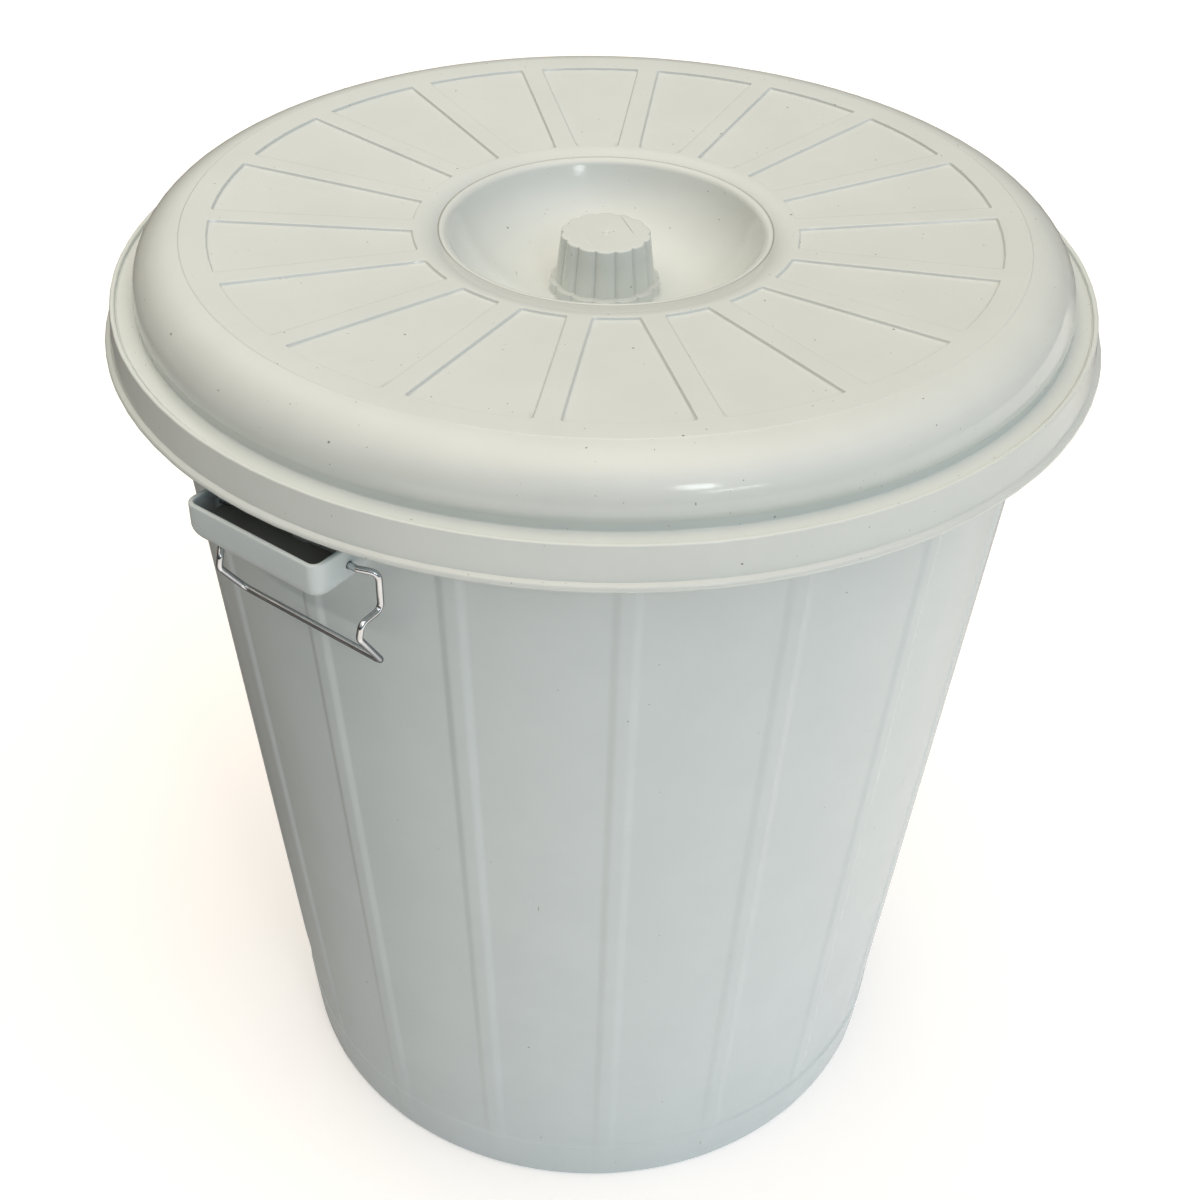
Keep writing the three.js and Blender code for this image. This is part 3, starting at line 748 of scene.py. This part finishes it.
def colour_mix(w, factor, a, b):
    made = w.node("ShaderNodeMix", data_type="RGBA", blend_type="MIX")
    w.feed(made.inputs["Factor"], factor)
    w.feed(made.inputs[6], a)
    w.feed(made.inputs[7], b)
    return made.outputs[2]


def new_finish(name):
    finish = bpy.data.materials.new(name)
    finish.use_nodes = True
    finish.node_tree.nodes.clear()
    w = Wiring(finish.node_tree)
    shader = w.node("ShaderNodeBsdfPrincipled")
    w.node("ShaderNodeOutputMaterial", {"Surface": shader.outputs[0]})
    place = w.node("ShaderNodeTexCoord").outputs["Object"]
    return finish, w, shader, place


def group_node(w, tree, place, **values):
    made = w.node("ShaderNodeGroup", node_tree=tree)
    w.feed(made.inputs["Place"], place)
    for label, value in values.items():
        w.feed(made.inputs[label.replace("_", " ")], value)
    return made.outputs


def plastic(name, colour, shade, speck_spacing, hair_turns, gloss, groups):
    """Pale moulded plastic with uneven tone, hairlines and specks, darkened where the mesh's attribute
    asks: painted shade deep in the ear pockets and on the knob's sides, and a darker line along the
    dish groove.
    """
    moulding, specks, hairlines = groups
    finish, w, shader, place = new_finish(name)
    skin = group_node(w, moulding, place, Gloss=gloss)
    tone = w.ramp(skin["Tone"], 0.3, 0.7)
    base = colour_mix(w, tone, (*shade, 1), (*colour, 1))
    for turn, strength, mark in zip(hair_turns, (0.30, 0.30, 0.55), (PALE_MARK, PALE_MARK, DARK_MARK)):
        hair = group_node(w, hairlines, place, Turn=turn, Share=0.25 - 0.3 * (strength - 0.3))["Mask"]
        base = colour_mix(w, w.math("MULTIPLY", hair, strength), base, mark)
    crowd = w.ramp(skin["Tone"], 0.42, 0.62, 0.15, 0.7)
    fine = group_node(w, specks, place, Spacing=speck_spacing, Size=0.0006, Share=crowd)["Mask"]
    dots = group_node(w, specks, place, Spacing=speck_spacing * 0.5, Size=0.0003, Share=crowd)["Mask"]
    dirt = w.math("MAXIMUM", fine, dots)
    base = colour_mix(w, w.math("MULTIPLY", dirt, 0.75), base, (0.07, 0.06, 0.045, 1))
    # painted shade from the mesh's attribute: darker deep in the ear pockets and on the knob's sides,
    # and along the dish groove
    marked = w.node("ShaderNodeAttribute", attribute_name="dirt_and_shade").outputs["Fac"]
    base = colour_mix(w, w.math("MULTIPLY", marked, 0.8), base, (0.10, 0.085, 0.06, 1))
    w.feed(shader.inputs["Base Color"], base)
    rough = w.math("ADD", skin["Roughness"], w.math("MULTIPLY", w.math("MAXIMUM", dirt, marked), 0.25))
    w.feed(shader.inputs["Roughness"], rough)
    bump = w.node("ShaderNodeBump", {"Strength": 1.0, "Distance": 0.0015, "Height": skin["Height"]})
    w.feed(shader.inputs["Normal"], bump.outputs[0])
    shader.inputs["IOR"].default_value = 1.5
    return finish


def wire_finish(groups):
    """Bright plated wire, drawn along its length, with a painted dark reflection on its turned-away
    sides and a few dull spots.
    """
    moulding, specks, _ = groups
    finish, w, shader, place = new_finish("plated wire")
    along = w.node("ShaderNodeAttribute", attribute_name="along").outputs["Fac"]
    drawn = w.node("ShaderNodeTexNoise", {
        "Vector": w.vector(w.math("MULTIPLY", along, 60.0)), "Scale": 1.0, "Detail": 3.0})
    spots = group_node(w, specks, place, Spacing=0.004, Size=0.0006, Share=0.3)["Mask"]
    base = colour_mix(w, w.ramp(drawn.outputs["Fac"], 0.35, 0.65), (0.58, 0.60, 0.62, 1),
                      (0.72, 0.74, 0.76, 1))
    base = colour_mix(w, w.math("MULTIPLY", spots, 0.5), base, (0.20, 0.18, 0.15, 1))
    # painted dark reflection on the wire's sides that turn away from the camera
    away = w.node("ShaderNodeLayerWeight", {"Blend": 0.5}).outputs["Facing"]
    base = colour_mix(w, w.ramp(away, 0.25, 0.75), base, (0.09, 0.10, 0.11, 1))
    w.feed(shader.inputs["Base Color"], base)
    w.feed(shader.inputs["Roughness"], w.math("ADD", 0.10, w.math(
        "MULTIPLY", w.math("ADD", drawn.outputs["Fac"], spots), 0.10)))
    shader.inputs["Metallic"].default_value = 1.0
    skin = group_node(w, moulding, place, Wave=90.0, Wave_depth=0.15, Peel_depth=0.05)
    bump = w.node("ShaderNodeBump", {"Strength": 0.6, "Distance": 0.0004, "Height": skin["Height"]})
    w.feed(shader.inputs["Normal"], bump.outputs[0])
    return finish


# ================================================================ the object
speck_tree = specks_group()
groups = (moulding_group(), speck_tree, hairlines_group(speck_tree))
tub_plastic = plastic("tub plastic", (0.59, 0.66, 0.67), (0.57, 0.64, 0.65), 0.018,
                      UPRIGHT_HAIRS, 0.20, groups)
lid_plastic = plastic("lid plastic", (0.65, 0.70, 0.68), (0.63, 0.68, 0.66), 0.0095,
                      LEVEL_HAIRS, 0.11, groups)
steel_wire = wire_finish(groups)

tub = turned("tub_shell", tub_line(), tub_columns, {"rib_share": rib_share})
formed(tub, ribs_tree(), Finish=tub_plastic)
placed(tub, "tub", "tub")
ear("ear_right", 0.0, tub_plastic)
ear("ear_left", math.pi, tub_plastic)

lid = turned("lid_shell", lid_line(), lid_columns, {"dirt_and_shade": lid_groove_darkening})
formed(lid, panels_tree(), Finish=lid_plastic)
placed(lid, "lid", "lid")
knob = turned("knob", knob_line(), knob_columns, {"flute_share": flute_share, "dirt_and_shade": knob_side_shade})
formed(knob, flutes_tree(), Finish=lid_plastic)
placed(knob, "lid", "lid")

bent_wire = wire_tree()
bail("bail_right", 1, steel_wire, bent_wire)
bail("bail_left", -1, steel_wire, bent_wire)


# ================================================================ floor, light and camera
FLOOR_GLOW = 0.2
FLOOR_BOUNCE_GLOW = 0.40           # glow of the floor near the bin's foot, unseen by the camera: painted bounce light on the bin
FLOOR_DARK, FLOOR_PALE = 0.15, 1.0
ROOM_FALLOFF = 8.0
ROOM_LIGHT = [                # heading, elevation and colour of each broad side of the room
    (0, 90, (2.44, 1.93, 1.51)),
    (60, 50, (1.20, 1.20, 1.08)),
    (150, 55, (0.82, 0.76, 0.68)),
    (-120, 50, (0.84, 0.98, 1.10)),
    (-60, 50, (0.86, 0.86, 0.88)),
    (45, 12, (0.10, 0.11, 0.12)),
    (-90, 12, (0.03, 0.12, 0.18)),
]


def floor():
    """A floor that looks white to the camera and keeps the shadow; to other rays it is pale, darker
    behind the bin, and glows near the bin's foot: painted bounce light on the bin.
    """
    finish, w, shader, place = new_finish("floor")
    seen = w.node("ShaderNodeLightPath").outputs["Is Camera Ray"]
    across = w.node("ShaderNodeVectorMath", {0: place, 1: aimed(-100, 0)}, operation="DOT_PRODUCT")
    # to rays other than the camera's the floor is darker behind the bin: painted bounce light on the
    # bin
    pale = w.ramp(across.outputs["Value"], -0.35, 0.5, FLOOR_DARK, FLOOR_PALE)
    bounce = w.vector(pale, pale, pale)
    w.feed(shader.inputs["Base Color"], colour_mix(w, seen, bounce, (0.96, 0.96, 0.96, 1)))
    shader.inputs["Roughness"].default_value = 0.9
    shader.inputs["Specular IOR Level"].default_value = 0.1
    shader.inputs["Emission Color"].default_value = (1, 1, 1, 1)
    # a glow near the bin's foot, unseen by the camera: painted bounce light
    near = w.math("MULTIPLY", pale, w.ramp(w.polar(place)[0], 0.2, 1.0, FLOOR_BOUNCE_GLOW, 0.0))
    glow = w.node("ShaderNodeMix", {"Factor": seen, "A": near, "B": FLOOR_GLOW}, data_type="FLOAT")
    w.feed(shader.inputs["Emission Strength"], glow.outputs[0])
    mesh = bpy.data.meshes.new("floor")
    reach = 30.0
    mesh.from_pydata([(-reach, -reach, 0), (reach, -reach, 0), (reach, reach, 0), (-reach, reach, 0)],
                     [], [(0, 1, 2, 3)])
    mesh.materials.append(finish)
    obj = bpy.data.objects.new("floor", mesh)
    bpy.context.scene.collection.objects.link(obj)


def aimed(heading, elevation):
    """A direction from its angle round Z, from +X, and its angle above the floor."""
    turn, rise = math.radians(heading), math.radians(elevation)
    return Vector((math.cos(rise) * math.cos(turn), math.cos(rise) * math.sin(turn), math.sin(rise)))


def room():
    """Soft light from a few broad sides of a room; the camera sees white behind the bin."""
    world = bpy.data.worlds.new("room")
    bpy.context.scene.world = world
    world.use_nodes = True
    world.node_tree.nodes.clear()
    w = Wiring(world.node_tree)
    way = w.node("ShaderNodeTexCoord").outputs["Generated"]
    total = w.vector()
    for heading, elevation, colour in ROOM_LIGHT:
        facing = w.node("ShaderNodeVectorMath", {0: way, 1: aimed(heading, elevation)},
                        operation="DOT_PRODUCT").outputs["Value"]
        glow = w.math("POWER", w.math("MAXIMUM", facing, 0.0), ROOM_FALLOFF)
        part = w.node("ShaderNodeVectorMath", {0: colour, "Scale": glow}, operation="SCALE").outputs[0]
        total = w.node("ShaderNodeVectorMath", {0: total, 1: part}, operation="ADD").outputs[0]
    light = w.node("ShaderNodeBackground", {"Color": total})
    white = w.node("ShaderNodeBackground", {"Color": (1, 1, 1, 1), "Strength": 1.0})
    seen = w.node("ShaderNodeLightPath").outputs["Is Camera Ray"]
    mixed = w.node("ShaderNodeMixShader", {0: seen, 1: light.outputs[0], 2: white.outputs[0]})
    w.node("ShaderNodeOutputWorld", {"Surface": mixed.outputs[0]})


def window(name, heading, elevation, size, level):
    """One bright pane that faces the bin; level is how bright its glass is."""
    distance = 3.5
    lamp = bpy.data.lights.new(name, "AREA")
    lamp.shape, lamp.size, lamp.size_y = "RECTANGLE", *size
    lamp.energy = level * math.pi * size[0] * size[1]
    lamp.color = (0.93, 0.97, 1.0)
    obj = bpy.data.objects.new(name, lamp)
    bpy.context.scene.collection.objects.link(obj)
    away = aimed(heading, elevation)
    obj.location = Vector((0, 0, 0.5)) + away * distance
    obj.rotation_euler = away.to_track_quat("Z", "Y").to_euler()


def camera():
    place, target = Vector((-0.6545, -0.4860, 0.9362)), Vector((0.00093, -0.00125, 0.3037))
    roll = math.radians(1.41)
    ahead = (target - place).normalized()
    right = ahead.cross(Vector((0, 0, 1))).normalized()
    up = right.cross(ahead)
    side = right * math.cos(roll) + up * math.sin(roll)
    top = up * math.cos(roll) - right * math.sin(roll)
    data = bpy.data.cameras.new("camera")
    data.sensor_width = 36.0
    data.lens = 36.0 * 1728.66 / 1200
    data.clip_start = 0.05
    obj = bpy.data.objects.new("camera", data)
    bpy.context.scene.collection.objects.link(obj)
    obj.matrix_world = Matrix((
        (side.x, top.x, -ahead.x, place.x), (side.y, top.y, -ahead.y, place.y),
        (side.z, top.z, -ahead.z, place.z), (0, 0, 0, 1)))
    bpy.context.scene.camera = obj


floor()
room()
window("upper pane", -121, 33, (0.42, 0.55), 9.0)
window("lower pane", -114, 22, (0.90, 0.24), 4.5)
camera()
bpy.context.scene.view_settings.view_transform = "Standard"
